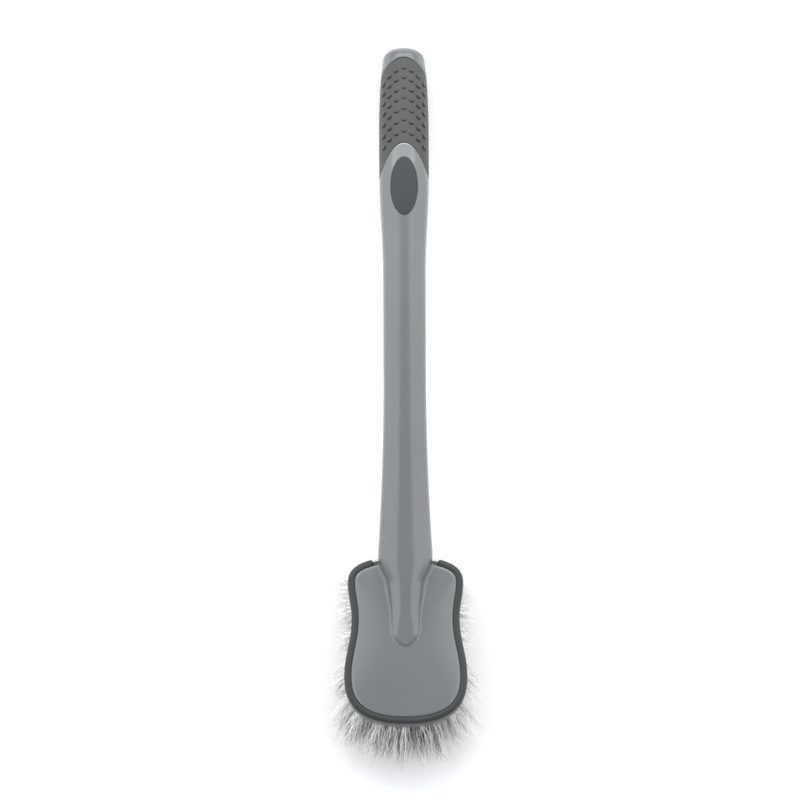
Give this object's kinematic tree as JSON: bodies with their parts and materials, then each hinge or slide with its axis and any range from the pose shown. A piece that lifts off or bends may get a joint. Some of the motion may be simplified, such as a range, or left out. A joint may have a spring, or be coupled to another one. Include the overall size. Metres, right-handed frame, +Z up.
{
  "type": "wheel brush",
  "caption": "Long-handled wheel brush: tufted head with domed plate and soft bumper, curved hollow handle, soft grip sleeve and oval thumb pad.",
  "frame": {"origin": "on the floor, under the middle of the bounding box of the brush as it lies on its rear bristles and the end of its handle", "axes": "+Y along the brush, from the head towards the end of the handle; +Z up from the floor; +X across the head"},
  "size_m": [0.1014, 0.5019, 0.0727],
  "materials": {
    "grey_plastic": "satin-gloss moulded polypropylene",
    "grip_rubber": "matt soft-touch rubber with raised scales",
    "pad_rubber": "smooth matt rubber",
    "bumper_rubber": "smooth matt rubber",
    "block_plastic": "fine-grained moulded plastic",
    "bristle": "crimped filaments with split, paler tips",
    "anchor_wire": "flat wire"
  },
  "bodies": {
    "root": {"head_cover": "grey_plastic", "front_shell": "grey_plastic", "back_shell": "grey_plastic", "grip_sleeve": "grip_rubber", "thumb_pad": "pad_rubber", "head_bumper": "bumper_rubber", "bristle_block": "block_plastic", "bristle_row_01": "bristle", "bristle_row_02": "bristle", "bristle_row_03": "bristle", "bristle_row_04": "bristle", "bristle_row_05": "bristle", "bristle_row_06": "bristle", "bristle_row_07": "bristle", "bristle_row_08": "bristle", "bristle_row_09": "bristle", "bristle_row_10": "bristle", "bristle_row_11": "bristle", "bristle_row_12": "bristle", "bristle_row_13": "bristle", "tuft_anchors": "anchor_wire"}
  },
  "joints": []
}
